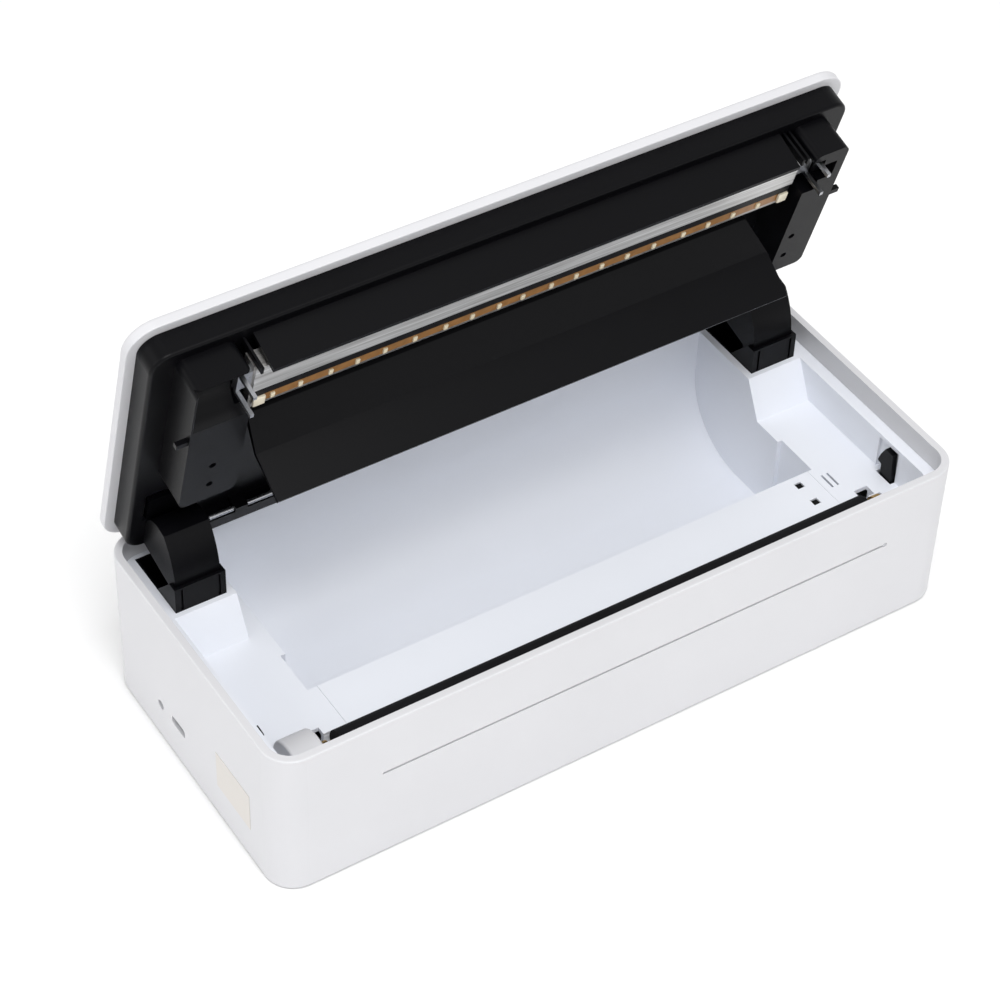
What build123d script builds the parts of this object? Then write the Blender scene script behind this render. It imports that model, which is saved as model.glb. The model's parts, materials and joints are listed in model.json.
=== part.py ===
from build123d import *
import math
import os

# A4 mobile printer with a drop-in paper bin. Millimetres, +Z up, +X right, -Y front.
# Origin: centre of the footprint on the plane the rubber feet rest on.
# The lid parts are drawn closed and then swung open about the hinge axis.

# ---- case ----
shell_length = 284.0
shell_depth = 123.8
shell_height = 64.3
wall = 3.0
corner_r = 11.3
rim_edge = 0.6
foot_stand = 1.0
floor_thick = 2.4
seat_width = 1.5
seat_thick = 1.5

# ---- paper path ----
paper_width = 210.0
bin_play = 2.5
slot_play = 1.2
path_x = 3.55
slot_height = 1.0

# ---- inner tray ----
ledge_width = 5.0
front_ledge = 3.0
ledge_drop = 9.2
shelf_level = 39.4
tray_wall = 1.8
roller_to_bin = 27.5
bin_floor = 4.6
bin_corner = 30.0
block_slope = 7.8
block_lead = 2.05
pocket_wall = 1.7
tray_edge = 0.1
bin_step = 1.9
bin_step_back = 3.3
insert_thick = 1.2

# ---- lid ----
lid_gap = 0.5
lid_thick = 4.2
lid_skin = 1.9
lid_ring = 3.9
lid_open = 73.5
frame_wall = 2.0
frame_gap = 0.4
cheek_side_gap = 4.8
cheek_lift = 1.5
cover_lift = 1.8
cover_lean = 1.9
gap_rib = 0.9
cheek_wall = 1.8
cheek_r = 3.0

# ---- hinge ----
barrel_r = 2.0
hinge_pin_r = 0.8
hinge_x = 84.0
knuckle = 4.0
lid_knuckle = 9.0
hinge_play = 0.35
arm_r = 34.0
arm_inner_r = 12.0
arm_width = 17.4
arm_side_gap = 2.8
arm_lead = 8.75
arm_round = 9.0
guide_thick = 1.3
guide_side = 0.8
guide_below_lid = 3.0
guide_slope = 13.75

# ---- platen and print head ----
roller_r = 6.6
roller_inset = 15.9
roller_sunk = 1.4
roller_overhang = 7.4
shaft_r = 2.5
roller_gap = 0.5
roller_back = 0.6
collar_r = 3.6
bush_r = 4.6
bush_play = 0.05
head_length = 218.0
head_thick = 6.0
head_lead = 6.5
head_depth = 24.0
ceramic_reach = 7.2
driver_reach = 11.2
flex_reach = 15.4
flex_thick = 0.5
ceramic_thick = 1.0
nip_gap = 0.35
fork_thick = 1.4
fork_gap = 1.6
fork_prong = 1.6

# ---- drive ----
tooth = 0.6
platen_teeth = 28
idler_teeth = 30
pinion_teeth = 12
gear_width = 4.4
gear_room = 2.8
gear_plate_thick = 1.0
cover_r = 10.9
cover_shift = 2.05
cover_half = 5.95
cover_wall = 1.2
cover_room = 0.7
motor_r = 10.0
motor_length = 17.0

# ---- latch ----
latch_thick = 2.2
latch_pin_r = 1.2
latch_deep = 9.4

# ---- shared positions ----
half_x = shell_length / 2
half_y = shell_depth / 2
inner_x = half_x - wall
inner_y = half_y - wall
rim_level = shell_height
ledge_level = shell_height - ledge_drop
open_x = inner_x - ledge_width
open_front = -(inner_y - front_ledge - 1.0)
open_back = inner_y - 2.4
roller_y = -inner_y + roller_inset
roller_z = shelf_level - roller_sunk
bin_front = roller_y + roller_to_bin
arm_out = open_x - arm_side_gap
bin_length = paper_width + bin_play
bin_left = path_x - bin_length / 2
bin_right = path_x + bin_length / 2
slot_length = paper_width + slot_play
block_inner = bin_right
cheek_out = open_x - cheek_side_gap
cheek_left = -bin_left + 4.9
cheek_right = bin_right + 4.7
cheek_floor = shelf_level + cheek_lift
cover_top = half_y - 8.1
cover_bottom = cover_top - cover_lean
cover_level = shelf_level + cover_lift
head_front = -roller_y + head_lead
ceramic_back = roller_y + ceramic_reach
driver_back = roller_y + driver_reach
flex_back = roller_y + flex_reach
hinge_y = half_y
hinge_z = rim_level + lid_gap / 2
lid_under = rim_level + lid_gap
lid_top = lid_under + lid_thick
frame_x = half_x - lid_ring
frame_y = half_y - lid_ring
frame_low = ledge_level + frame_gap
deck_top = frame_low + frame_wall
slot_level = shelf_level + slot_height / 2
nip_level = roller_z + roller_r
trough_back = roller_y + roller_r + roller_back
roller_left = bin_left - roller_overhang + 2.2
roller_right = bin_right + roller_overhang - 1.2
collar_left = roller_left - 0.8
collar_right = roller_right + 0.8
bush_left = collar_left - 5.5
bush_right = collar_right + 6.4
head_low = nip_level + nip_gap
low_head = head_low + ceramic_thick
fork_end = roller_right + fork_gap + fork_thick
head_left = path_x - head_length / 2
head_right = path_x + head_length / 2
arm_in = arm_out - arm_width
guide_y = hinge_y - arm_r - hinge_play - guide_thick
guide_top = lid_top - guide_below_lid
guide_slope_back = guide_y + guide_slope
arm_front = guide_y + arm_lead
block_head = guide_y - block_lead
block_foot = block_head - block_slope
cheek_back = block_foot - 2.2
pocket_low = hinge_z - arm_r - 1.6
pocket_in = arm_in - 0.4 - guide_side - 0.1
pocket_out = arm_out + 0.4 + guide_side + 0.1
pocket_back = open_back + 0.5
platen_pitch = tooth * platen_teeth / 2
idler_pitch = tooth * idler_teeth / 2
pinion_pitch = tooth * pinion_teeth / 2
mesh_play = 0.05
gear_x = bush_left - 5.6
cover_x = gear_x - cover_shift
latch_x = open_x - 0.5
latch_y = roller_y + 8.5
latch_z = shelf_level - latch_deep
latch_recess = open_x + 1.2
latch_recess_top = latch_z + 23.4
latch_slot = (latch_y - 2.5, latch_y + 6.2, latch_y + 8.9)
catch_reach = open_x - 0.4
gear_plate_x = gear_x + gear_width / 2 + 1.0
idler_angle = -45.0
motor_level = floor_thick + motor_r + 0.8


def step_from(y, z, distance, degrees):
    turn = math.radians(degrees)
    return y + distance * math.cos(turn), z + distance * math.sin(turn)


idler_y, idler_z = step_from(roller_y, roller_z, platen_pitch + idler_pitch + mesh_play, idler_angle)
motor_reach = pinion_pitch + idler_pitch + mesh_play
# the motor lies on the bottom cover, so its height sets the angle
pinion_angle = math.degrees(math.asin((idler_z - motor_level) / motor_reach)) - 180
motor_y, motor_z = step_from(idler_y, idler_z, motor_reach, pinion_angle)


def block(x0, x1, y0, y1, z0, z1):
    size = Box(x1 - x0, y1 - y0, z1 - z0)
    return Pos((x0 + x1) / 2, (y0 + y1) / 2, (z0 + z1) / 2) * size


def slab(x0, x1, y0, y1, z0, z1, r):
    outline = RectangleRounded(x1 - x0, y1 - y0, r)
    solid = extrude(outline, z1 - z0)
    return Pos((x0 + x1) / 2, (y0 + y1) / 2, z0) * solid


def rod_x(x0, x1, y, z, r):
    return Pos((x0 + x1) / 2, y, z) * (Rot(0, 90, 0) * Cylinder(r, x1 - x0))


def rod_y(x, y0, y1, z, r):
    return Pos(x, (y0 + y1) / 2, z) * (Rot(90, 0, 0) * Cylinder(r, y1 - y0))


def rod_z(x, y, z0, z1, r):
    return Pos(x, y, (z0 + z1) / 2) * Cylinder(r, z1 - z0)


def prism(points, x0, x1):
    # closed outline in the Y-Z plane, carried from x0 to x1
    outline = Plane.YZ * make_face(Polyline(*points, close=True))
    return Pos(x0, 0, 0) * extrude(outline, x1 - x0, dir=(1, 0, 0))


def swung(shape):
    # from the closed lid to the open lid
    axis = Axis((0, hinge_y, hinge_z), (1, 0, 0))
    return shape.rotate(axis, -lid_open)


def sides():
    return (("left", -1), ("right", 1))


def spans(side, near, far):
    # a span given as distances from the middle, on the side asked for
    return (near, far) if side > 0 else (-far, -near)


# ---- case parts ----
def knuckle_spans():
    inner = lid_knuckle / 2 + hinge_play
    for _, side in sides():
        centre = side * hinge_x
        yield centre - inner - knuckle, centre - inner
        yield centre + inner, centre + inner + knuckle


def port_holes(depth):
    slot = extrude(RectangleRounded(usb_high, usb_wide, 1.4), depth, both=True)
    usb = Pos(-half_x, usb_y, usb_z) * (Rot(0, 90, 0) * slot)
    button = rod_x(-half_x - depth, -half_x + depth, button_y, button_z, button_r + 0.35)
    return usb + button


usb_y = 10.3
usb_z = 17.4
usb_wide = 9.6
usb_high = 3.8
button_y = 23.4
button_z = 16.6
button_r = 1.6
light_r = 0.9


def make_outer_shell():
    body = slab(-half_x, half_x, -half_y, half_y, 0, shell_height, corner_r)
    top = body.faces().sort_by(Axis.Z)[-1]
    body = fillet(top.edges(), rim_edge)
    body -= slab(-inner_x, inner_x, -inner_y, inner_y, -1, shell_height + 1, corner_r - wall)
    seat = slab(
        -inner_x, inner_x, -inner_y, inner_y, floor_thick + 0.1, floor_thick + 0.1 + seat_thick,
        corner_r - wall,
    )
    lip_x = inner_x - seat_width
    lip_y = inner_y - seat_width
    seat -= slab(-lip_x, lip_x, -lip_y, lip_y, 0, 10, corner_r - wall - seat_width)
    body += seat
    x0 = path_x - slot_length / 2
    x1 = path_x + slot_length / 2
    body -= block(x0, x1, -half_y - 1, -inner_y + 1, shelf_level, shelf_level + slot_height)
    body -= rod_y(x1 + light_r, -half_y - 1, -inner_y + 1, slot_level, light_r + 0.1)
    body -= port_holes(wall + 1)
    for x0, x1 in knuckle_spans():
        web = block(x0, x1, hinge_y - 0.6, hinge_y + barrel_r, hinge_z - 3.0, hinge_z)
        body += web + rod_x(x0, x1, hinge_y, hinge_z, barrel_r)
    for _, side in sides():
        centre = side * hinge_x
        reach = lid_knuckle / 2 + hinge_play
        relief = barrel_r + hinge_play
        body -= rod_x(centre - reach, centre + reach, hinge_y, hinge_z, relief)
        body -= rod_x(centre - 12, centre + 12, hinge_y, hinge_z, hinge_pin_r + 0.02)
    return body


screw_spots = [(sx * (inner_x - 7.5), sy * (inner_y - 8.9)) for sx in (-1, 1) for sy in (-1, 1)]
foot_spots = [(sx * (half_x - 22.0), sy * (half_y - 17.9)) for sx in (-1, 1) for sy in (-1, 1)]
foot_spots.append((0.0, 0.0))
foot_r = 6.0
foot_sunk = 0.8
screw_r = 1.4
screw_head_r = 2.8


def make_bottom_cover():
    gap = 0.15
    body = slab(
        -inner_x + gap, inner_x - gap, -inner_y + gap, inner_y - gap, 0, floor_thick,
        corner_r - wall - gap,
    )
    for x, y in foot_spots:
        body -= rod_z(x, y, -1, foot_sunk, foot_r + 0.1)
    for x, y in screw_spots:
        body -= rod_z(x, y, -1, 10, screw_r + 0.2)
        body -= rod_z(x, y, -1, 1.2, screw_head_r + 0.2)
    for x, y in board_posts:
        body += rod_z(x, y, floor_thick, board_level, 2.4)
        body -= rod_z(x, y, 4, 20, 0.8)
    for x0, x1 in cell_spans:
        for x in (x0 + 8, x1 - 8):
            cradle = block(x - 2, x + 2, cell_y - 8, cell_y + 8, floor_thick, cell_z)
            body += cradle
        body -= rod_x(x0 - 1, x1 + 1, cell_y, cell_z, cell_r + 0.15)
    return body


board_level = 13.9
board_thick = 1.6
board_posts = [(x - inner_x, y) for x in (5.5, 29.5) for y in (-8.0, 36.0)]
cell_r = 9.2
cell_length = 65.0
cell_y = -inner_y + 22.9
cell_z = floor_thick + cell_r + 1.2
cell_spans = [(-92.0, -92.0 + cell_length), (-24.0, -24.0 + cell_length)]


def make_foot(x, y):
    body = rod_z(x, y, -foot_stand, foot_sunk, foot_r)
    low = body.faces().sort_by(Axis.Z)[0]
    return fillet(low.edges(), 0.5)


def make_bottom_screw(x, y):
    body = rod_z(x, y, 0.2, 1.2, screw_head_r) + rod_z(x, y, 1.2, 9.0, screw_r)
    body -= block(x - 1.7, x + 1.7, y - 0.35, y + 0.35, 0, 0.7)
    body -= block(x - 0.35, x + 0.35, y - 1.7, y + 1.7, 0, 0.7)
    return body


# ---- inner tray ----
def bin_outline(grow):
    y0 = bin_front - grow
    y1 = open_back + grow
    z0 = bin_floor - grow
    r = bin_corner + grow
    top = ledge_level + 20
    cos45 = math.cos(math.radians(45))
    front_mid = (y0 + r - r * cos45, z0 + r - r * cos45)
    back_mid = (y1 - r + r * cos45, z0 + r - r * cos45)
    edges = [
        Line((y0, top), (y0, z0 + r)),
        ThreePointArc((y0, z0 + r), front_mid, (y0 + r, z0)),
        Line((y0 + r, z0), (y1 - r, z0)),
        ThreePointArc((y1 - r, z0), back_mid, (y1, z0 + r)),
        Line((y1, z0 + r), (y1, top)),
        Line((y1, top), (y0, top)),
    ]
    return make_face(Wire(edges))


def bin_solid(grow, x0, x1):
    return Pos(x0, 0, 0) * extrude(Plane.YZ * bin_outline(grow), x1 - x0, dir=(1, 0, 0))


def wide_bin(grow):
    # the front part of the bin is a little longer than the back part
    x0 = bin_left - bin_step - grow
    x1 = bin_right + bin_step + grow
    front = block(x0, x1, -half_y, bin_step_back + grow, -1, ledge_level + 30)
    return bin_solid(grow, x0, x1) & front


def post_top(y):
    # the back posts stop under the hinge pockets
    return shelf_level - tray_wall if y < 0 else pocket_low - tray_wall


def tray_outline(z0, z1):
    x1 = inner_x - tray_edge
    y1 = inner_y - tray_edge
    return slab(-x1, x1, -y1, y1, z0, z1, corner_r - wall - tray_edge)


def make_inner_tray():
    ring = tray_outline(ledge_level - tray_wall, ledge_level)
    well_r = 5.0
    skirt = slab(
        -open_x - tray_wall, open_x + tray_wall, open_front - tray_wall, open_back + tray_wall,
        shelf_level - tray_wall, ledge_level, well_r + tray_wall,
    )
    body = ring + skirt
    # the bin shell hangs below the shelf
    bin_shell = bin_solid(tray_wall, bin_left - tray_wall, bin_right + tray_wall)
    bin_shell += wide_bin(tray_wall)
    bin_shell &= block(-half_x, half_x, -half_y, open_back + tray_wall, 0, ledge_level)
    body += bin_shell
    # trough block under the platen
    trough_r = roller_r + roller_gap
    body += block(
        bush_left - 0.2, bush_right + 1.5, roller_y - trough_r - tray_wall,
        trough_back + tray_wall, roller_z - trough_r - tray_wall, shelf_level,
    )
    # screw posts down to the bottom cover
    for x, y in screw_spots:
        body += rod_z(x, y, floor_thick + 0.1, post_top(y), 3.4)
    # the open well above the shelf, then the two hinge blocks put back
    body -= slab(-open_x, open_x, open_front, open_back, shelf_level, ledge_level + 1, well_r)
    for _, side in sides():
        x0, x1 = spans(side, block_inner, open_x + 1.0)
        body += prism(
            ((block_foot, shelf_level - 1), (block_foot, shelf_level), (block_head, ledge_level), (open_back + 1, ledge_level), (open_back + 1, shelf_level - 1)),
            x0, x1,
        )
        p0, p1 = spans(side, pocket_in - pocket_wall, pocket_out + pocket_wall)
        pocket = block(
            p0, p1, guide_y - pocket_wall, open_back + tray_wall, pocket_low - tray_wall,
            shelf_level,
        )
        body += pocket & tray_outline(0, shelf_level)
    body -= bin_solid(0, bin_left, bin_right)
    body -= wide_bin(0)
    for _, side in sides():
        x0, x1 = spans(side, pocket_in, pocket_out)
        body -= block(x0, x1, guide_y - 0.1, pocket_back, pocket_low, ledge_level + 1)
    # platen trough and its two end bearings
    body -= rod_x(collar_left - 4.2, collar_right + 4.2, roller_y, roller_z, trough_r)
    body -= block(
        collar_left - 4.2, collar_right + 4.2, roller_y - trough_r, trough_back, roller_z,
        ledge_level,
    )
    body -= rod_x(bush_left - 3, bush_right + 3, roller_y, roller_z, bush_r + 0.05)
    body -= block(
        bush_left - 3, bush_right + 3, roller_y - bush_r - 0.05, roller_y + bush_r + 0.05,
        roller_z, shelf_level + 1,
    )
    # notches in the shelf edge, behind the head's forks
    for x0, x1, y1 in shelf_notches:
        body -= block(x0, x1, trough_back - 2, y1, roller_z - 4, shelf_level + 1)
    # opening over the gears, left end
    body -= block(
        gear_x - gear_room, gear_x + gear_room, roller_y - platen_pitch - 2,
        idler_y + idler_pitch + 2, roller_z - 20, shelf_level - tray_wall,
    )
    body -= block(
        gear_x - gear_room, gear_x + gear_room, roller_y - platen_pitch - 1.6,
        roller_y + platen_pitch + 1.6, roller_z - 20, shelf_level + 1,
    )
    # recess for the rail cover, and windows under it
    x0, x1 = insert_span()
    body -= block(
        x0 - 0.1, x1 + 0.1, trough_back - 1, bin_front + 0.1, shelf_level - insert_thick,
        shelf_level + 1,
    )
    body -= block(
        sensor_x - 3.2, sensor_x + 3.2, bin_front - 17.9, bin_front - 1.9, roller_z - 8,
        shelf_level,
    )
    for x in slit_xs:
        body -= block(
            x - 0.45, x + 0.45, bin_front - 11.7, bin_front - 4.4, shelf_level - tray_wall - 1,
            shelf_level + 1,
        )
    # paper slot through the front wall
    sx0 = path_x - slot_length / 2
    sx1 = path_x + slot_length / 2
    body -= block(sx0, sx1, -inner_y - 1, open_front + 1, shelf_level, shelf_level + slot_height)
    # slots for the two latch hooks
    for _, side in sides():
        near = latch_thick / 2 + 0.4
        x0, x1 = spans(side, latch_x - near, latch_recess)
        body -= block(x0, x1, latch_slot[0], latch_slot[1], shelf_level - tray_wall - 1, shelf_level + 1)
        x0, x1 = spans(side, open_x - 0.01, latch_recess)
        body -= block(x0, x1, latch_slot[0], latch_slot[2], shelf_level, latch_recess_top)
        for offset, top in ((-near - 1.6, shelf_level - tray_wall), (near, latch_recess_top - 8)):
            x0, x1 = spans(side, latch_x + offset, latch_x + offset + 1.6)
            body += block(x0, x1, latch_y - 3, latch_y + 3, latch_z - 3, top)
        x0, x1 = spans(side, latch_x - 4, latch_x + 4)
        body -= rod_x(x0, x1, latch_y, latch_z, latch_pin_r + 0.02)
    for x, y in screw_spots:
        body -= rod_z(x, y, 0, 12, screw_r + 0.1)
    return body


shelf_notches = (
    (roller_left - 5.5, roller_left - 2.0, trough_back + 3.5),
    (roller_right + 2.0, roller_right + 8.0, trough_back + 2.8),
)
sensor_x = bin_right - 7.2
slit_xs = (bin_right + 3.1, bin_right + 5.6)


def insert_span():
    return bin_left + 2.0, bin_right - 0.1


def make_rail_cover():
    x0, x1 = insert_span()
    body = block(x0, x1, trough_back, bin_front, shelf_level - insert_thick + 0.05, shelf_level)
    for y in sensor_ys:
        body -= block(sensor_x - 1.5, sensor_x + 1.5, y - 1.5, y + 1.5, 30, shelf_level + 1)
    return body


sensor_ys = (bin_front - 4.6, bin_front - 14.6)


def make_paper_sensor():
    body = block(
        sensor_x - 3.0, sensor_x + 3.0, bin_front - 17.5, bin_front - 2.1, shelf_level - 4.4,
        shelf_level - insert_thick - 0.1,
    )
    for y in sensor_ys:
        body += block(sensor_x - 1.2, sensor_x + 1.2, y - 1.2, y + 1.2, shelf_level - 2, shelf_level - 0.4)
    return body


def make_lid_switch():
    low = shelf_level - tray_wall - 7.0
    x, y = slit_xs[0], bin_front - 7.5
    body = block(x - 2.3, x + 4.9, y - 5.5, y + 5.0, low, low + 6.4)
    return body + block(x + 0.7, x + 1.7, y - 1.5, y + 1.5, low + 6.4, shelf_level - tray_wall - 0.1)


def make_gear_cover():
    # a half barrel over the gear, on the roller's own axis
    x0, x1 = cover_x - cover_half, cover_x + cover_half
    low = shelf_level + 0.05
    above = block(x0 - 1, x1 + 1, -half_y, 0, low, ledge_level)
    body = rod_x(x0, x1, roller_y, roller_z, cover_r) & above
    rims = body.edges().filter_by(GeomType.CIRCLE)
    body = fillet(rims, 1.0)
    body -= rod_x(x0 + cover_wall, x1 - cover_wall, roller_y, roller_z, cover_r - cover_wall)
    return body - rod_x(x1 - cover_wall - 1, x1 + 1, roller_y, roller_z, shaft_r + 0.5)


# ---- platen ----
def make_platen_shaft():
    body = rod_x(gear_x - gear_width / 2 - 0.3, bush_right + 1.0, roller_y, roller_z, shaft_r)
    flat = block(
        gear_x - gear_width / 2 - 2, gear_x + gear_width / 2 + 0.5, roller_y - 3, roller_y + 3,
        roller_z + shaft_r - 0.6, roller_z + 3,
    )
    return body - flat


def make_platen_rubber():
    body = rod_x(roller_left, roller_right, roller_y, roller_z, roller_r)
    return body - rod_x(roller_left - 1, roller_right + 1, roller_y, roller_z, shaft_r)


def make_platen_bush(side):
    if side < 0:
        body = rod_x(bush_left, collar_left - 3.0, roller_y, roller_z, bush_r) + rod_x(
            collar_left - 3.1, collar_left, roller_y, roller_z, collar_r,
        )
    else:
        body = rod_x(collar_right + 3.0, bush_right, roller_y, roller_z, bush_r) + rod_x(
            collar_right, collar_right + 3.1, roller_y, roller_z, collar_r,
        )
    return body - rod_x(bush_left - 1, bush_right + 1, roller_y, roller_z, shaft_r + bush_play)


def gear_face(teeth):
    pitch = tooth * teeth / 2
    outer = pitch + tooth * 0.92
    root = pitch - tooth * 1.15
    step = 2 * math.pi / teeth
    points = []
    for i in range(teeth):
        a = i * step
        for part, r in ((-0.27, root), (-0.115, outer), (0.115, outer), (0.27, root)):
            points.append((r * math.cos(a + part * step), r * math.sin(a + part * step)))
    return make_face(Polyline(*points, close=True))


def make_gear(teeth, y, z, bore, turn, width):
    body = extrude(gear_face(teeth), width / 2, both=True)
    body = Rot(0, 90, 0) * (Rot(0, 0, turn) * body)
    body = Pos(gear_x, y, z) * body
    return body - rod_x(gear_x - width, gear_x + width, y, z, bore)


def make_platen_gear():
    body = make_gear(platen_teeth, roller_y, roller_z, shaft_r, 0, gear_width)
    key = block(
        gear_x - gear_width / 2, gear_x + gear_width / 2, roller_y - 2, roller_y + 2,
        roller_z + shaft_r - 0.6, roller_z + shaft_r + 0.3,
    )
    return body + key


def make_idler_gear():
    # turned so its teeth fall in the gaps of the platen gear
    body = make_gear(idler_teeth, idler_y, idler_z, idler_pin_r + 0.06, idler_turn, gear_width - 0.6)
    return body


def make_motor_pinion():
    return make_gear(pinion_teeth, motor_y, motor_z, motor_shaft_r, pinion_turn, gear_width)


idler_pin_r = 1.5
motor_shaft_r = 1.0
motor_shaft_deep = 8.0


def mesh_turn(teeth, turn, line, next_teeth):
    # turns the next gear so that its gap meets the tooth nearest the line of centres
    step = 360.0 / teeth
    next_step = 360.0 / next_teeth
    tooth_off = (turn - 90 - line) % step
    gap_off = -tooth_off * teeth / next_teeth
    return (line + 270 + gap_off - next_step / 2) % next_step


idler_turn = mesh_turn(platen_teeth, 0, idler_angle, idler_teeth)
pinion_turn = mesh_turn(idler_teeth, idler_turn, pinion_angle, pinion_teeth)


def make_gear_plate():
    x0 = gear_plate_x
    x1 = x0 + gear_plate_thick
    y1 = idler_y + 7
    body = block(x0, x1, motor_y - 9, y1, motor_z - 8, motor_z + 9)
    body += block(x0, x1, trough_back + tray_wall + 0.4, y1, motor_z, idler_z + 7)
    body -= rod_x(x0 - 1, x1 + 1, motor_y, motor_z, 4.2)
    body += rod_x(gear_x - gear_width / 2 - 0.6, x0 + 0.1, idler_y, idler_z, idler_pin_r)
    body += block(x0, x0 + 8, motor_y - 9, motor_y - 7.8, floor_thick, motor_z)
    body -= rod_x(x1, x1 + 12, motor_y, motor_z, motor_r + 0.1)
    return body


def make_stepper_motor():
    x0 = gear_plate_x + gear_plate_thick
    body = rod_x(x0, x0 + motor_length, motor_y, motor_z, motor_r)
    body += rod_x(x0 - gear_plate_thick, x0 + 0.1, motor_y, motor_z, 4.0)
    body += block(x0 + 3, x0 + 13, motor_y + 4, motor_y + motor_r + 1.2, motor_z - 4, motor_z + 4)
    return body - rod_x(x0 - 2, x0 + motor_shaft_deep + 0.5, motor_y, motor_z, motor_shaft_r + 0.06)


def make_motor_shaft():
    x0 = gear_x - gear_width / 2
    return rod_x(x0, gear_plate_x + gear_plate_thick + motor_shaft_deep, motor_y, motor_z, motor_shaft_r)


# ---- electronics ----
def make_mainboard():
    left = -inner_x
    body = block(left + 2.4, left + 31.8, -13.0, 42.0, board_level, board_level + board_thick)
    for x, y in board_posts:
        body -= rod_z(x, y, 10, 20, 1.3)
    body += block(left + 11, left + 23, -2, 10, board_level + board_thick, board_level + board_thick + 1.2)
    body += block(left + 13, left + 19, 26, 32, board_level + board_thick, board_level + board_thick + 1.0)
    body += block(left + 21, left + 27, 14, 24, board_level + board_thick, board_level + board_thick + 3.2)
    # the push switch behind the power button
    y0, y1 = button_y - 3, button_y + 3
    body += block(
        left + 2.4, left + 6.6, y0, y1, board_level + board_thick, board_level + board_thick + 3.4,
    )
    return body


def make_usb_socket():
    x0 = -half_x + 1.2
    x1 = x0 + 8.6
    z0 = board_level + board_thick
    body = Pos(x0, usb_y, z0 + 1.65) * (Rot(0, 90, 0) * extrude(RectangleRounded(3.3, 8.9, 1.3), x1 - x0))
    body -= Pos(x0 - 1, usb_y, z0 + 1.65) * (Rot(0, 90, 0) * extrude(RectangleRounded(2.6, 8.2, 1.1), 7.4))
    body += block(x0 + 0.8, x1 - 0.5, usb_y - 3.3, usb_y + 3.3, z0 + 1.3, z0 + 2.0)
    return body


def make_power_button():
    return rod_x(-half_x + 0.6, -inner_x + 1.0, button_y, button_z, button_r)


def make_status_light():
    x = path_x + slot_length / 2 + light_r
    return rod_y(x, -half_y + 0.3, -inner_y - 0.2, slot_level, light_r)


def make_cell(x0, x1):
    body = rod_x(x0, x1, cell_y, cell_z, cell_r)
    return body + rod_x(x1, x1 + 1.0, cell_y, cell_z, 3.0)


def make_blank_label():
    return block(-half_x - 0.15, -half_x, -41.5, -18.0, 14.8, 31.8)


# ---- latch hooks ----
def make_latch_hook(side):
    x0, x1 = spans(side, latch_x - latch_thick / 2, latch_x + latch_thick / 2)
    # outline measured from the pivot: shank, rounded head and the nose that faces the lid's catch
    outline = (
        (-2.1, -1.0), (-1.8, 12.7), (-1.1, 22.2), (3.1, 22.6), (5.3, 18.5),
        (6.5, 14.9), (4.4, 14.1), (4.3, 10.4), (2.5, -1.0),
    )
    points = [(latch_y + y, latch_z + z) for y, z in outline]
    body = prism(points, x0, x1)
    body += rod_x(x0, x1, latch_y, latch_z, 2.8)
    return body - rod_x(x0 - 1, x1 + 1, latch_y, latch_z, latch_pin_r + 0.06)


def make_latch_pin(side):
    x0, x1 = spans(side, latch_x - latch_thick / 2 - 2.0, latch_x + latch_thick / 2 + 2.0)
    return rod_x(x0, x1, latch_y, latch_z, latch_pin_r)


# ---- hinge ----
def make_hinge_pin(side):
    reach = lid_knuckle / 2 + hinge_play + knuckle
    return rod_x(side * hinge_x - reach, side * hinge_x + reach, hinge_y, hinge_z, hinge_pin_r)


def guide_sides(grow):
    # the sleeve walls above the ledge, highest at the front and sloping back
    y0 = guide_y - grow
    low = ledge_level - 1
    return (
        (y0, low), (y0, guide_top), (guide_y + 4, guide_top), (guide_slope_back, ledge_level),
        (guide_slope_back, low),
    )


def make_arm_guide(side):
    # black sleeve lining the pocket, its front wall standing above the block
    x0, x1 = spans(side, pocket_in + 0.1, pocket_out - 0.1)
    low = pocket_low + 0.1
    body = block(x0, x1, guide_y, pocket_back - 0.1, low, ledge_level)
    body += prism(guide_sides(0), x0, x1)
    y0 = guide_y + guide_thick
    body -= block(
        x0 + guide_side, x1 - guide_side, y0, pocket_back - 0.1 - guide_side, low + guide_side,
        guide_top + 1,
    )
    for x in (x0 + 2.6, x1 - 2.6):
        body -= block(x - 0.5, x + 0.5, guide_y - 1, guide_y + 0.7, ledge_level + 0.5, guide_top - 0.8)
    return body


def make_hinge_arm(side):
    x0, x1 = spans(side, arm_in, arm_out)
    deck = frame_low - 0.05
    body = rod_x(x0, x1, hinge_y, hinge_z, arm_r) - rod_x(x0 - 1, x1 + 1, hinge_y, hinge_z, arm_inner_r)
    back = pocket_back - 0.1 - guide_side - 0.45
    body &= block(x0, x1, arm_front, back, hinge_z - arm_r, deck)
    body += block(x0, x1, arm_front, back, deck - 2.5, deck)
    corner = block(x0, x1, arm_front - 1, arm_front + arm_round, deck - arm_round, deck + 1)
    corner -= rod_x(x0 - 1, x1 + 1, arm_front + arm_round, deck - arm_round, arm_round)
    return body - corner


# ---- lid ----
lid_screw_spots = [(x, y) for y in (hinge_y - 16.9, bin_front - 4.5) for x in (-70.0, 70.0)]


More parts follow.
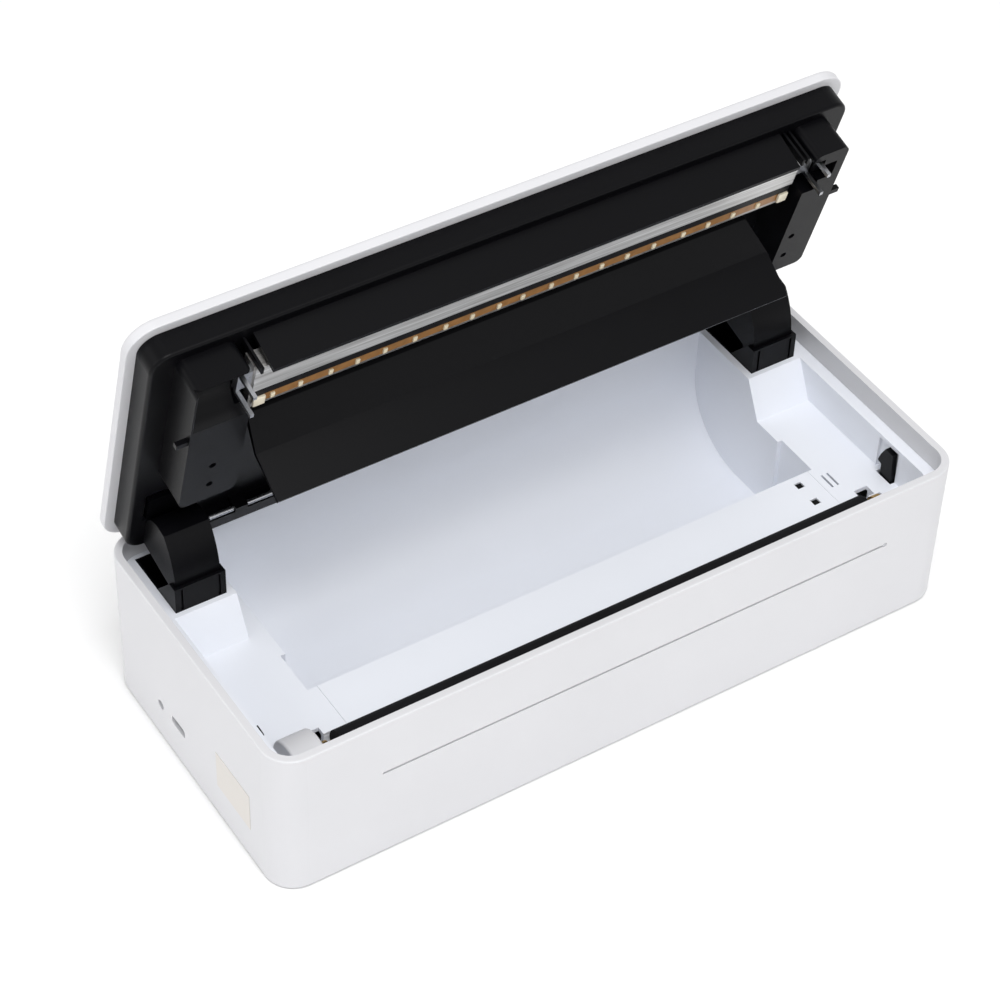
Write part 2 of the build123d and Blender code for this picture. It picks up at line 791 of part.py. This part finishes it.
def make_lid_plate():
    body = slab(-half_x, half_x, -half_y, half_y, lid_under, lid_top, corner_r)
    faces = body.faces().sort_by(Axis.Z)
    body = fillet(faces[-1].edges(), 1.6)
    low = body.faces().sort_by(Axis.Z)[0]
    body = fillet(low.edges(), 0.5)
    cut = lid_ring + frame_wall + 1.0
    cavity = slab(
        -half_x + cut, half_x - cut, -half_y + cut, half_y - cut, lid_under - 1,
        lid_top - lid_skin, corner_r - cut + 2,
    )
    body -= cavity
    for x, y in lid_screw_spots:
        body += rod_z(x, y, deck_top + 0.05, lid_top - lid_skin, 3.0)
        body -= rod_z(x, y, deck_top - 1, lid_top - lid_skin - 1, 1.0)
    for x0, x1 in knuckle_spans():
        body -= rod_x(x0 - hinge_play, x1 + hinge_play, hinge_y, hinge_z, barrel_r + hinge_play)
    for _, side in sides():
        x0 = side * hinge_x - lid_knuckle / 2
        x1 = x0 + lid_knuckle
        web = block(x0, x1, hinge_y - 0.6, hinge_y + barrel_r, hinge_z, hinge_z + 2.6)
        body += web + rod_x(x0, x1, hinge_y, hinge_z, barrel_r)
        body -= rod_x(x0 - 6, x1 + 6, hinge_y, hinge_z, hinge_pin_r + 0.06)
    return body


def cheek_recess(grow):
    # room for the gear cover, the two forks and the right bush
    x0 = cover_x - cover_half - cover_room - grow
    r = cover_r + cover_room + grow
    room = rod_x(x0, 1 - cheek_left, roller_y, roller_z, r)
    room += block(x0, 1 - cheek_left, roller_y - r, roller_y + r, roller_z - 8, roller_z)
    top = low_head + 5.0 + grow
    y0 = roller_y - 7.5 - grow
    y1 = roller_y + 9.5 + grow
    left = roller_left - fork_gap - fork_thick - 0.6 - grow
    room += block(left, 1 - cheek_left, y0, y1, roller_z - 8, top)
    room += block(cheek_right - 1, fork_end + 0.6 + grow, y0, y1, roller_z - 8, top)
    near = bush_r - 0.4 + grow
    room += block(
        fork_end, bush_right + 2.4 + grow, roller_y - near, roller_y + near, roller_z - 8, top - 6,
    )
    return room & block(-half_x, half_x, -half_y, cheek_back, roller_z - 8, frame_low)


def rear_ridge():
    # rib under the deck along the hinge side, grooved for the torsion rod
    x1 = block_inner - 1.0
    face = (
        (rod_y_at + 0.6, ridge_low), (ridge_back, ridge_low), (ridge_back, frame_low + 0.5),
        (rod_y_at + 0.6, frame_low + 0.5),
    )
    body = prism(face, -x1, x1)
    for x in rod_clips:
        body += block(x - 2.5, x + 2.5, rod_y_at - 1.9, rod_y_at + 1, rod_z_at - 1.6, frame_low + 0.5)
    return body - rod_x(-x1 - 1, x1 + 1, rod_y_at, rod_z_at, rod_r + 0.02)


rod_y_at = open_back - 6.5
rod_z_at = ledge_level - 3.5
rod_r = 1.0
rod_clips = (-96.0, -32.0, 32.0, 96.0)
ridge_low = ledge_level - 4.9
ridge_back = open_back - 0.5


def make_torsion_rod():
    x1 = block_inner - 1.6
    return rod_x(-x1, x1, rod_y_at, rod_z_at, rod_r)


def make_lid_frame():
    r = corner_r - lid_ring
    body = slab(-frame_x, frame_x, -frame_y, frame_y, frame_low, lid_under - 0.05, r)
    body = fillet(body.faces().sort_by(Axis.Z)[0].edges(), 1.2)
    inner = slab(
        -frame_x + frame_wall, frame_x - frame_wall, -frame_y + frame_wall, frame_y - frame_wall,
        deck_top, lid_under + 1, r - frame_wall,
    )
    body -= inner
    for near, far in ((-cheek_out, -cheek_left), (cheek_right, cheek_out)):
        deep = slab(near, far, -cover_top, cheek_back, cheek_floor, frame_low + 1, cheek_r)
        hollow = slab(
            near + cheek_wall, far - cheek_wall, -cover_top + cheek_wall, cheek_back - cheek_wall,
            cheek_floor + cheek_wall, lid_under, cheek_r - 1.5,
        )
        body += deep
        body -= hollow - cheek_recess(cheek_wall)
    # front cover between the cheeks
    x0, x1 = bin_left + 1.5, bin_right - 1.7
    face = (
        (-cover_top, frame_low + 0.5), (-cover_bottom, cover_level),
        (-cover_bottom + 1.6, cover_level), (-cover_top + 2.2, frame_low + 0.5),
    )
    body += prism(face, x0, x1)
    # thin ribs in the two gaps
    for x in (-cheek_left + 3.0, cheek_right - 2.2, cheek_right - 4.4):
        body += block(
            x - gap_rib / 2, x + gap_rib / 2, -cover_top + 0.6, -cover_bottom + 1.8,
            cover_level + 1.0, frame_low + 0.5,
        )
    # wall behind the print head
    back = -head_front + head_depth + 0.5
    body += block(head_left - 0.5, head_right + 0.5, back, back + 1.6, head_low + 2.5, frame_low + 0.5)
    body -= cheek_recess(0)
    body += rear_ridge()
    for x in (-cheek_left - 10.9, cheek_right + 4.1):
        for hole_y in (cheek_back - 20.6, cheek_back - 9.2):
            body -= rod_z(x, hole_y, cheek_floor - 1, cheek_floor + 5, 1.3)
    # windows over the arm guides and holes for the lid screws
    for _, side in sides():
        x0, x1 = spans(side, pocket_in - 0.3, pocket_out + 0.3)
        body -= block(x0, x1, guide_y - 0.9, guide_y + guide_thick + 2.0, frame_low - 1, deck_top + 1)
        for edge in (pocket_in + 0.1, pocket_out - 0.1 - guide_side):
            x0, x1 = spans(side, edge - 0.4, edge + guide_side + 0.4)
            body -= block(x0, x1, guide_y, guide_slope_back + 0.9, frame_low - 1, deck_top + 1)
    for x, y in lid_screw_spots:
        body -= rod_z(x, y, frame_low - 1, deck_top + 1, 1.3)
    # catches for the hooks, on the outer side of each cheek
    for _, side in sides():
        x0, x1 = spans(side, cheek_out - 0.5, catch_reach)
        body += block(x0, x1, latch_y + 7.7, latch_y + 9.9, latch_z + 11.4, latch_z + 13.3)
    return body


def make_lid_screw(x, y):
    body = rod_z(x, y, frame_low - 1.4, frame_low - 0.05, 2.4) + rod_z(
        x, y, frame_low - 0.05, frame_low + 8.0, 0.95,
    )
    body -= block(x - 1.5, x + 1.5, y - 0.3, y + 0.3, frame_low - 2, frame_low - 0.8)
    body -= block(x - 0.3, x + 0.3, y - 1.5, y + 1.5, frame_low - 2, frame_low - 0.8)
    return body


def make_paper_guard():
    t = 1.5
    x0, x1 = bin_left + 1.0, bin_right - 1.0
    top = frame_low - 0.05
    low = shelf_level - 15.3
    crease_y, crease_z = bin_front + 13.1, shelf_level + 1.5
    tip_y = bin_front + 18.7
    front_y, front_z = bin_front + 0.8, ledge_level - 5.3
    face = (
        (front_y, front_z), (crease_y, crease_z), (tip_y, low),
        (tip_y + t, low + 0.5), (crease_y + t, crease_z + 0.9),
        (front_y + 2.5, front_z + 1.2), (front_y + 6.7, top), (front_y - 2.3, top),
    )
    body = prism(face, x0, x1)
    # the upper panel narrows toward its top at the right end
    far = front_y - 3.3
    corner = make_face(
        Polyline((x1 - 9.2, far), (x1 + 1, far), (x1 + 1, crease_y), (x1, crease_y), close=True)
    )
    return body - Pos(0, 0, low + 6) * extrude(corner, 30)


# ---- print head ----
def make_head_heatsink():
    y0 = -head_front
    z0 = head_low + ceramic_thick
    body = block(head_left, head_right, y0, y0 + head_depth, z0, z0 + head_thick)
    for i in range(1, 5):
        y = y0 + i * head_depth / 5
        body -= block(head_left - 1, head_right + 1, y - 0.5, y + 0.5, z0 + 3.4, z0 + head_thick + 1)
    for x in head_spring_xs:
        body -= rod_z(x, y0 + head_depth / 2, z0 + 3.0, z0 + 20, 3.2)
    return body


head_spring_xs = (path_x - 80.0, path_x, path_x + 80.0)
head_spring_r = 2.6


def make_head_ceramic():
    y0 = -head_front + 0.6
    return block(head_left + 0.4, head_right - 0.4, y0, ceramic_back, head_low, low_head - 0.02)


def make_head_drivers():
    # moulded strip over the driver chips, behind the heating line
    y0 = ceramic_back + 0.2
    return block(head_left + 0.8, head_right - 0.8, y0, driver_back, low_head - 0.7, low_head - 0.02)


def make_head_flex():
    # flat amber strip that carries the signals to the head
    y0 = driver_back + 0.2
    return block(head_left + 2.0, head_right - 2.0, y0, flex_back, low_head - flex_thick, low_head - 0.02)


def make_head_fork(side):
    # two prongs that drop over the shaft collar, and a tab to the head's end
    x0 = roller_left - fork_gap - fork_thick if side < 0 else roller_right + fork_gap
    x1 = x0 + fork_thick
    low = head_low + ceramic_thick
    near = collar_r + 0.4
    rear = collar_r + 1.0
    body = block(x0, x1, roller_y - near - fork_prong, roller_y + rear + fork_prong, low, low + 3.0)
    for y0, y1 in ((-near - fork_prong, -near), (rear, rear + fork_prong)):
        body += block(x0, x1, roller_y + y0, roller_y + y1, roller_z - 2.0, low + 1)
    t0, t1 = (x0, head_left) if side < 0 else (head_right, x1)
    return body + block(t0, t1, roller_y - near, roller_y + near, low, low + 3.0)


def make_head_spring(x):
    z0 = head_low + ceramic_thick + 3.05
    z1 = frame_low - 0.05
    y = -head_front + head_depth / 2
    return rod_z(x, y, z0, z1, head_spring_r) - rod_z(x, y, z0 - 1, z1 + 1, head_spring_r - 0.7)


# ---- write the nodes ----
def lifted(shape):
    return Pos(0, 0, foot_stand) * shape


def all_parts():
    nodes = {}
    nodes["outer_shell"] = make_outer_shell()
    nodes["bottom_cover"] = make_bottom_cover()
    nodes["inner_tray"] = make_inner_tray()
    nodes["rail_cover"] = make_rail_cover()
    nodes["paper_sensor"] = make_paper_sensor()
    nodes["lid_switch"] = make_lid_switch()
    nodes["gear_cover"] = make_gear_cover()
    nodes["platen_shaft"] = make_platen_shaft()
    nodes["platen_rubber"] = make_platen_rubber()
    nodes["platen_gear"] = make_platen_gear()
    nodes["idler_gear"] = make_idler_gear()
    nodes["motor_pinion"] = make_motor_pinion()
    nodes["motor_shaft"] = make_motor_shaft()
    nodes["gear_plate"] = make_gear_plate()
    nodes["stepper_motor"] = make_stepper_motor()
    nodes["mainboard"] = make_mainboard()
    nodes["usb_socket"] = make_usb_socket()
    nodes["power_button"] = make_power_button()
    nodes["status_light"] = make_status_light()
    nodes["blank_label"] = make_blank_label()
    for i, (x0, x1) in enumerate(cell_spans):
        nodes[f"battery_cell_{i + 1}"] = make_cell(x0, x1)
    for i, (x, y) in enumerate(foot_spots):
        nodes[f"foot_{i + 1}"] = make_foot(x, y)
    for i, (x, y) in enumerate(screw_spots):
        nodes[f"bottom_screw_{i + 1}"] = make_bottom_screw(x, y)
    for name, side in sides():
        nodes[f"platen_bush_{name}"] = make_platen_bush(side)
        nodes[f"latch_hook_{name}"] = make_latch_hook(side)
        nodes[f"latch_pin_{name}"] = make_latch_pin(side)
        nodes[f"hinge_pin_{name}"] = make_hinge_pin(side)
        nodes[f"arm_guide_{name}"] = make_arm_guide(side)
        nodes[f"hinge_arm_{name}"] = swung(make_hinge_arm(side))
        nodes[f"head_fork_{name}"] = swung(make_head_fork(side))
    nodes["lid_plate"] = swung(make_lid_plate())
    nodes["lid_frame"] = swung(make_lid_frame())
    nodes["paper_guard"] = swung(make_paper_guard())
    for i, (x, y) in enumerate(lid_screw_spots):
        nodes[f"lid_screw_{i + 1}"] = swung(make_lid_screw(x, y))
    nodes["head_heatsink"] = swung(make_head_heatsink())
    nodes["head_ceramic"] = swung(make_head_ceramic())
    nodes["head_drivers"] = swung(make_head_drivers())
    nodes["head_flex"] = swung(make_head_flex())
    nodes["torsion_rod"] = swung(make_torsion_rod())
    for i, x in enumerate(head_spring_xs):
        nodes[f"head_spring_{i + 1}"] = swung(make_head_spring(x))
    return nodes


os.makedirs("parts", exist_ok=True)
for name, shape in all_parts().items():
    export_step(lifted(shape), f"parts/{name}.step")
    print(name, len(shape.solids()), round(shape.volume))
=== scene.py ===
import bpy
import bmesh
import json
import math
import random
from mathutils import Matrix, Vector


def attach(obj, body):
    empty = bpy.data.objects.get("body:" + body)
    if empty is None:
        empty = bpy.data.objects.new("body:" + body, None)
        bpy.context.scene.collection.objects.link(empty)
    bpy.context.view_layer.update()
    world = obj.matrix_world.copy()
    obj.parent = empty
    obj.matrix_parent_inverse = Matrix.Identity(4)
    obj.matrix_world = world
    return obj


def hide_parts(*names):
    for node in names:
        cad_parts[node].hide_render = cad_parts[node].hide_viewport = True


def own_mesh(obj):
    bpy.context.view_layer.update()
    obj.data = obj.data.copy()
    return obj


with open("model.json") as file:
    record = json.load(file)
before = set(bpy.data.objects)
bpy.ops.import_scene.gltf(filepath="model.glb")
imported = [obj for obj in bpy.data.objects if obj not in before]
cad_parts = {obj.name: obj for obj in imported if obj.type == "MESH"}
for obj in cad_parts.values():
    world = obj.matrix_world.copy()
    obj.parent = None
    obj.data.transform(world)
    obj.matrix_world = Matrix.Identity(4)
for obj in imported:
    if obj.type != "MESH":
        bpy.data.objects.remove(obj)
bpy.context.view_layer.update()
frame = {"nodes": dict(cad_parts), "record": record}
nodes = frame["nodes"]
bodyOf = {n: body for body, group in frame["record"]["behaviour"]["bodies"].items() for n in group}
slotOf = {s["node"]: s["material_slot"] for s in frame["record"]["subparts"]}


# camera
cameraLook = {
    "place": (-0.43541, -0.62233, 0.79123),
    "right": (0.8436, -0.53633, 0.02639),
    "down": (-0.35457, -0.59326, -0.72272),
    "ahead": (0.40327, 0.60033, -0.69064),
    "lens": 106.47,
    "sensor": 36.0,
    "near": 0.01,
}


def makeCamera(look):
    data = bpy.data.cameras.new("camera")
    data.lens = look["lens"]
    data.sensor_width = look["sensor"]
    data.clip_start = look["near"]
    camera = bpy.data.objects.new("camera", data)
    turn = Matrix((look["right"], [-v for v in look["down"]], [-v for v in look["ahead"]])).transposed()
    camera.matrix_world = Matrix.Translation(look["place"]) @ turn.to_4x4()
    bpy.context.scene.collection.objects.link(camera)
    bpy.context.scene.camera = camera


makeCamera(cameraLook)
print("camera set")


# materials
def linear(hexText):
    # sRGB hex to linear light
    parts = [int(hexText[i:i + 2], 16) / 255 for i in (0, 2, 4)]
    return tuple(p / 12.92 if p <= 0.04045 else ((p + 0.055) / 1.055) ** 2.4 for p in parts) + (1.0,)


def addNode(tree, kind, values=None, links=None, **settings):
    # one node with its settings, its socket values and the sockets that feed it
    made = tree.nodes.new(kind)
    for name, value in settings.items():
        setattr(made, name, value)
    for name, value in (values or {}).items():
        made.inputs[name].default_value = value
    for name, source in (links or {}).items():
        tree.links.new(source, made.inputs[name])
    return made


def startMaterial(name, shader):
    # an empty material with one Principled shader
    material = bpy.data.materials.new(name)
    material.use_nodes = True
    tree = material.node_tree
    tree.nodes.clear()
    body = addNode(tree, "ShaderNodeBsdfPrincipled", shader)
    addNode(tree, "ShaderNodeOutputMaterial", links={"Surface": body.outputs[0]})
    place = addNode(tree, "ShaderNodeTexCoord").outputs["Object"]
    return material, tree, body, place


def addFinish(tree, body, look, patches, height):
    # patches mixes the two colours, and height breaks up the gloss and stands up as relief
    colours = {6: linear(look["dark"]), 7: linear(look["light"])}
    mix = addNode(tree, "ShaderNodeMix", colours, {0: patches}, data_type="RGBA")
    tree.links.new(mix.outputs[2], body.inputs["Base Color"])
    gloss = {"To Min": look["rough"][0], "To Max": look["rough"][1]}
    rough = addNode(tree, "ShaderNodeMapRange", gloss, {"Value": height})
    tree.links.new(rough.outputs[0], body.inputs["Roughness"])
    relief = {"Strength": look["bump"], "Distance": look["depthMm"] / 1000}
    bump = addNode(tree, "ShaderNodeBump", relief, {"Height": height})
    tree.links.new(bump.outputs[0], body.inputs["Normal"])


def mouldedPlastic(name, look):
    # moulded plastic: a faint cloudiness in the colour and a fine spark-eroded grain
    shader = {"IOR": 1.54, "Specular IOR Level": look["specular"]}
    material, tree, body, place = startMaterial(name, shader)
    cloudSize = {"Scale": 1000 / look["cloudMm"], "Detail": 3.0}
    cloud = addNode(tree, "ShaderNodeTexNoise", cloudSize, {"Vector": place})
    grainSize = {"Scale": 1000 / look["grainMm"], "Detail": 2.0}
    grain = addNode(tree, "ShaderNodeTexNoise", grainSize, {"Vector": place})
    addFinish(tree, body, look, cloud.outputs["Fac"], grain.outputs["Fac"])
    return material


def turnedMetal(name, look):
    # metal with fine lines along one axis: drawn, turned or brushed
    material, tree, body, place = startMaterial(name, {"Metallic": 1.0})
    spread = addNode(tree, "ShaderNodeMapping", {"Scale": look["stretch"]}, {"Vector": place})
    lineSize = {"Scale": 1000 / look["lineMm"], "Detail": 4.0}
    lines = addNode(tree, "ShaderNodeTexNoise", lineSize, {"Vector": spread.outputs[0]})
    addFinish(tree, body, look, lines.outputs["Fac"], lines.outputs["Fac"])
    return material


# real grain and tool lines are a tenth of a millimetre or finer, and are drawn coarser so that they show
whiteLook = {
    "dark": "CBCBCE", "light": "D3D3D6", "cloudMm": 60, "grainMm": 0.5,
    "rough": (0.38, 0.5), "bump": 0.12, "depthMm": 0.02, "specular": 0.5,
}
blackLook = {
    "dark": "050507", "light": "08080B", "cloudMm": 40, "grainMm": 0.45,
    "rough": (0.3, 0.42), "bump": 0.15, "depthMm": 0.015, "specular": 0.1,
}
metalLook = {
    "dark": "A4A6AA", "light": "C2C4C8", "stretch": (1, 1, 1), "lineMm": 0.8,
    "rough": (0.3, 0.45), "bump": 0.1, "depthMm": 0.02,
}
# painted light: a brighter, bluer copy of the case white for the parts inside the case
trayPaintedLightLook = dict(whiteLook, dark="E6E9F0", light="ECEFF6", rough=(0.3, 0.4))
sensorLook = dict(blackLook, dark="08080A", light="0E0E10")
buttonLook = dict(whiteLook, dark="8A8C90", light="9A9CA0")
rollerLook = dict(blackLook, dark="101012", light="1A1A1C", rough=(0.6, 0.8))
gearLook = dict(whiteLook, dark="D8D6CC", light="E4E2D8")
brassLook = dict(metalLook, dark="A07C3C", light="C9A35E", lineMm=0.6, rough=(0.25, 0.4))
steelLook = dict(metalLook, rough=(0.22, 0.38))
motorLook = dict(metalLook, dark="8C8E90", light="A6A8AA", stretch=(0.05, 1, 1))
boardLook = dict(blackLook, dark="0A3A1C", light="0E4A26")
lensLook = dict(whiteLook, dark="B4B6BA", light="C2C4C8", rough=(0.15, 0.25))
labelLook = dict(whiteLook, dark="CDC8C2", light="D4D0CB")
cellLook = dict(whiteLook, dark="1E3A66", light="26467A", rough=(0.25, 0.35))
heatsinkLook = dict(
    metalLook, dark="8E8C8A", light="C8C6C4", stretch=(0.06, 1, 1), lineMm=0.5,
    rough=(0.3, 0.5), bump=0.4, depthMm=0.05,
)
ceramicLook = dict(
    metalLook, dark="86847F", light="FFFFFF", stretch=(0.03, 1, 1), lineMm=0.9,
    rough=(0.45, 0.6), bump=0.05,
)
resinLook = dict(blackLook, dark="08080A", light="101013", rough=(0.3, 0.4))
flexLook = dict(
    blackLook, dark="6A4518", light="A8763A", cloudMm=3, rough=(0.25, 0.4), specular=0.5,
)
footLook = dict(blackLook, dark="2A2A2C", light="343436", rough=(0.6, 0.8))

looks = {
    # satin neutral white with a soft, broad gloss
    "case_white": mouldedPlastic("moulded ABS white", whiteLook),
    # the case's own white painted brighter and bluer inside the case, as painted light there, with a
    # tighter gloss
    "tray_white_painted_light": mouldedPlastic("ABS white with painted light", trayPaintedLightLook),
    # near black with little gloss, so the lid's underside is one dark mass
    "frame_black": mouldedPlastic("moulded ABS black", blackLook),
    # a shade greyer than the frame round it
    "sensor_black": mouldedPlastic("sensor housing black", sensorLook),
    # a mid grey key in the white case
    "button_grey": mouldedPlastic("moulded button grey", buttonLook),
    # matt black with no bright line along the roller
    "roller_rubber": mouldedPlastic("ground nitrile rubber", rollerLook),
    # a warm, creamy white
    "gear_white": mouldedPlastic("acetal natural", gearLook),
    # a yellow glint at the roller's ends
    "brass": turnedMetal("turned brass", brassLook),
    # pale grey with small bright highlights
    "steel": turnedMetal("zinc plated steel", steelLook),
    # a duller grey with lines along the can
    "motor_steel": turnedMetal("plated steel can", motorLook),
    # deep green, barely glossy
    "board_green": mouldedPlastic("solder mask green", boardLook),
    # pale grey, with the sharpest gloss of the plastics
    "light_lens": mouldedPlastic("clear grey lens", lensLook),
    # a shade warmer than the case and hardly seen on it
    "label_beige": mouldedPlastic("printed film label", labelLook),
    # smooth deep blue
    "cell_blue": mouldedPlastic("shrink sleeve blue", cellLook),
    # grey metal with drawn lines along the head
    "head_aluminium": turnedMetal("extruded aluminium", heatsinkLook),
    # long streaks of silver and grey along the print line
    "ceramic": turnedMetal("glazed alumina face", ceramicLook),
    # black, faintly glossy
    "driver_resin": mouldedPlastic("black epoxy resin", resinLook),
    # small uneven patches from brown to amber
    "flex_amber": mouldedPlastic("polyimide film amber", flexLook),
    # dark grey and matt
    "foot_rubber": mouldedPlastic("moulded rubber feet", footLook),
}
print("materials made")

# these parts are the case's white plastic, dressed in the copy with painted light
paintedLightParts = ("inner_tray", "rail_cover")
for name, cad in nodes.items():
    finish = "tray_white_painted_light" if name in paintedLightParts else slotOf[name]
    cad.data.materials.clear()
    cad.data.materials.append(looks[finish])
print("CAD nodes dressed")


# pieces the CAD leaves out, modelled closed and swung open with the lid
lidLook = {"hingeY": 0.0619, "hingeZ": 0.06555, "open": -73.5}


def lidTurn(look):
    pivot = Matrix.Translation((0, look["hingeY"], look["hingeZ"]))
    return pivot @ Matrix.Rotation(math.radians(look["open"]), 4, "X") @ pivot.inverted()


def swing(mesh):
    bmesh.ops.transform(mesh, matrix=lidTurn(lidLook), verts=mesh.verts)


def addBox(mesh, x0, x1, y0, y1, z0, z1, soft):
    made = bmesh.ops.create_cube(mesh, size=1.0)["verts"]
    centre = Matrix.Translation(((x0 + x1) / 2, (y0 + y1) / 2, (z0 + z1) / 2))
    sized = centre @ Matrix.Diagonal((x1 - x0, y1 - y0, z1 - z0, 1))
    bmesh.ops.transform(mesh, matrix=sized, verts=made)
    edges = list(dict.fromkeys(edge for vert in made for edge in vert.link_edges))
    bmesh.ops.bevel(
        mesh, geom=edges, offset=soft, segments=3, profile=0.5, affect="EDGES", material=-1,
    )


def finishPiece(name, mesh, material, partner):
    bmesh.ops.recalc_face_normals(mesh, faces=mesh.faces)
    data = bpy.data.meshes.new(name)
    mesh.to_mesh(data)
    mesh.free()
    for face in data.polygons:
        face.use_smooth = True
    data.materials.append(material)
    piece = bpy.data.objects.new(name, data)
    bpy.context.scene.collection.objects.link(piece)
    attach(piece, bodyOf[partner])
    return piece


# small cream chips in a row along the head's flex
chipLook = {
    "dark": "D2C6A8", "light": "E2D8BE", "first": -0.096, "step": 0.0108, "count": 20,
    "shift": 0.0012, "halfWidth": 0.0008, "y": (-0.0308, -0.0284),
    "faceZ": 0.0464, "proud": 0.0007, "sunk": 0.0001, "soft": 0.0002,
}


def makeHeadDots(look):
    mesh = bmesh.new()
    y0, y1 = look["y"]
    z0, z1 = look["faceZ"] - look["proud"], look["faceZ"] + look["sunk"]
    half = look["halfWidth"]
    for i in range(look["count"]):
        x = look["first"] + i * look["step"] + random.uniform(-look["shift"], look["shift"])
        addBox(mesh, x - half, x + half, y0, y1, z0, z1, look["soft"])
    swing(mesh)
    # cream dots that stand out on the amber strip
    finish = dict(whiteLook, dark=look["dark"], light=look["light"])
    finishPiece("head_chips", mesh, mouldedPlastic("cream ceramic chips", finish), "head_heatsink")


# the connector at each end of the flex
plugLook = {
    "dark": "D8CFB8", "light": "E6DECA", "xs": ((-0.1042, -0.0996), (0.1076, 0.1116)),
    "y": (-0.0316, -0.0272), "faceZ": 0.0464, "proud": 0.0011, "sunk": 0.0001, "soft": 0.0004,
}


def makeHeadPlugs(look):
    mesh = bmesh.new()
    y0, y1 = look["y"]
    z0, z1 = look["faceZ"] - look["proud"], look["faceZ"] + look["sunk"]
    for x0, x1 in look["xs"]:
        addBox(mesh, x0, x1, y0, y1, z0, z1, look["soft"])
    swing(mesh)
    # a paler cream block at each end of the strip
    finish = dict(whiteLook, dark=look["dark"], light=look["light"])
    finishPiece("head_plugs", mesh, mouldedPlastic("cream nylon connector", finish), "head_heatsink")


# wound springs that press the head down, in place of the plain tubes
springLook = {
    "xs": (-0.07645, 0.00355, 0.08355), "y": -0.0375, "z": (0.0500, 0.05645),
    "coil": 0.0022, "wire": 0.00032, "turns": 4.5, "wireSides": 10, "turnSteps": 24,
}


def makeSpring(index, look):
    mesh = bmesh.new()
    low, high = look["z"]
    x = look["xs"][index]
    wire = look["wire"]
    ring = bmesh.ops.create_circle(mesh, segments=look["wireSides"], radius=wire)["verts"]
    place = Matrix.Translation((x + look["coil"], look["y"], low + wire))
    upright = Matrix.Rotation(math.radians(90), 4, "X")
    bmesh.ops.transform(mesh, matrix=place @ upright, verts=ring)
    steps = int(look["turns"] * look["turnSteps"])
    rise = (high - low - 2 * wire) / steps
    geom = ring + list(mesh.edges)
    turn = look["turns"] * 2 * math.pi
    foot = (x, look["y"], low)
    bmesh.ops.spin(
        mesh, geom=geom, cent=foot, axis=(0, 0, 1), dvec=(0, 0, rise), angle=turn, steps=steps,
    )
    openEnds = [edge for edge in mesh.edges if edge.is_boundary]
    bmesh.ops.holes_fill(mesh, edges=openEnds, sides=0)
    swing(mesh)
    piece = finishPiece(f"coil_spring_{index + 1}", mesh, looks["steel"], "lid_frame")
    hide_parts(f"head_spring_{index + 1}")
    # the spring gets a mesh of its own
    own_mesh(piece)


random.seed(4)
makeHeadDots(chipLook)
makeHeadPlugs(plugLook)
for index in range(len(springLook["xs"])):
    makeSpring(index, springLook)
print("head details made")


# floor and light
floorLook = {"size": 6.0, "cloudScale": 2.0, "dark": "F4F4F4", "light": "F8F8F8"}


def makeFloor(look):
    data = bpy.data.meshes.new("floor")
    shape = bmesh.new()
    bmesh.ops.create_grid(shape, x_segments=1, y_segments=1, size=look["size"])
    shape.to_mesh(data)
    shape.free()
    floor = bpy.data.objects.new("floor", data)
    bpy.context.scene.collection.objects.link(floor)
    # near white and matt, so only soft shade shows round the object
    shader = {"Roughness": 0.9, "Specular IOR Level": 0.1}
    material, tree, body, place = startMaterial("pale studio floor", shader)
    cloud = addNode(tree, "ShaderNodeTexNoise", {"Scale": look["cloudScale"]}, {"Vector": place})
    colours = {6: linear(look["dark"]), 7: linear(look["light"])}
    mix = addNode(tree, "ShaderNodeMix", colours, {0: cloud.outputs["Fac"]}, data_type="RGBA")
    tree.links.new(mix.outputs[2], body.inputs["Base Color"])
    data.materials.append(material)


def makeLight(name, place, target, size, power):
    data = bpy.data.lights.new(name, "AREA")
    data.shape = "RECTANGLE"
    data.size, data.size_y = size
    data.energy = power
    lamp = bpy.data.objects.new(name, data)
    lamp.location = place
    lamp.rotation_euler = (Vector(target) - Vector(place)).to_track_quat("-Z", "Y").to_euler()
    bpy.context.scene.collection.objects.link(lamp)


studioLook = {
    "world": 0.7,
    "aim": (0, 0, 0.05),
    "top": {"place": (-0.2, -0.75, 1.7), "size": (0.9, 0.9), "power": 20},
    "left": {"place": (-1.6, 0.1, 0.9), "size": (1.0, 1.0), "power": 6},
    "front": {"place": (0.3, -1.9, 0.7), "size": (1.2, 0.8), "power": 2},
}


def makeStudio(look):
    world = bpy.data.worlds.new("studio")
    world.use_nodes = True
    sky = world.node_tree.nodes["Background"]
    sky.inputs["Color"].default_value = (1, 1, 1, 1)
    sky.inputs["Strength"].default_value = look["world"]
    bpy.context.scene.world = world
    for name in ("top", "left", "front"):
        light = look[name]
        makeLight(name, light["place"], look["aim"], light["size"], light["power"])


makeFloor(floorLook)
makeStudio(studioLook)
bpy.context.scene.view_settings.view_transform = "Standard"
print("studio set")
